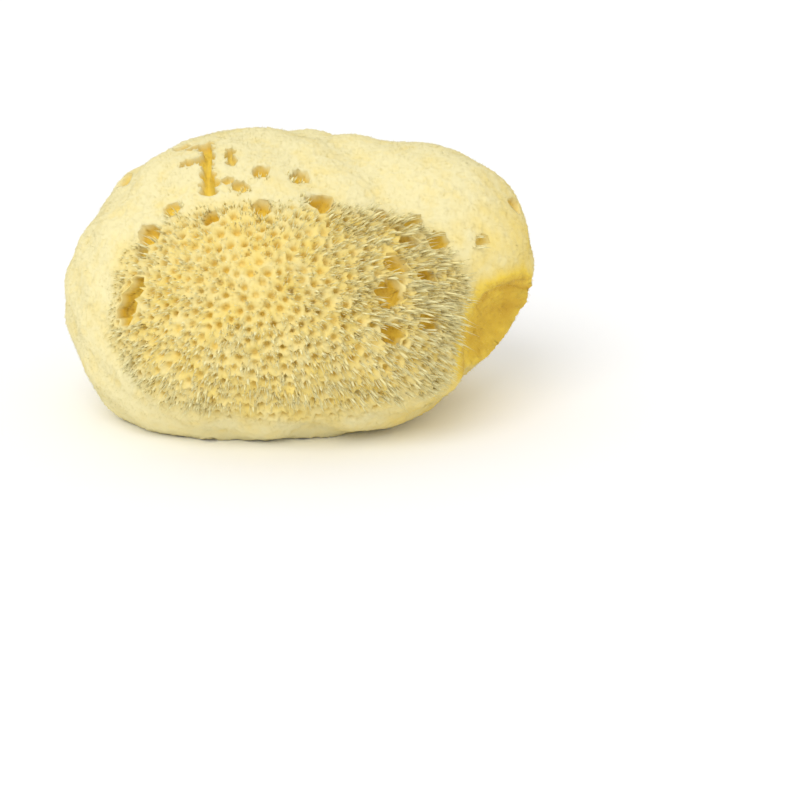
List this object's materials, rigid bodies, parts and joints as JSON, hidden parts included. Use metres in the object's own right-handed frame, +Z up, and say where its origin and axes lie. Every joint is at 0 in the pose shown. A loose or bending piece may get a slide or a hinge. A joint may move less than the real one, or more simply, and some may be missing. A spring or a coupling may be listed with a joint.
{
  "type": "sea sponge",
  "caption": "Rounded natural bath sponge with fine pores, a ring of larger openings, a soft nap and a flat cut foot.",
  "frame": {"origin": "middle of the flat cut that the sponge rests on", "axes": "+X across the wide side, -Y towards the open side with the ring of large openings, +Z up"},
  "size_m": [0.0904, 0.0638, 0.0531],
  "materials": {
    "spongin": "dry golden cream fibre, matt, with a soft pale nap and deeper golden pores"
  },
  "bodies": {
    "root": {"sponge": "spongin"}
  },
  "joints": []
}
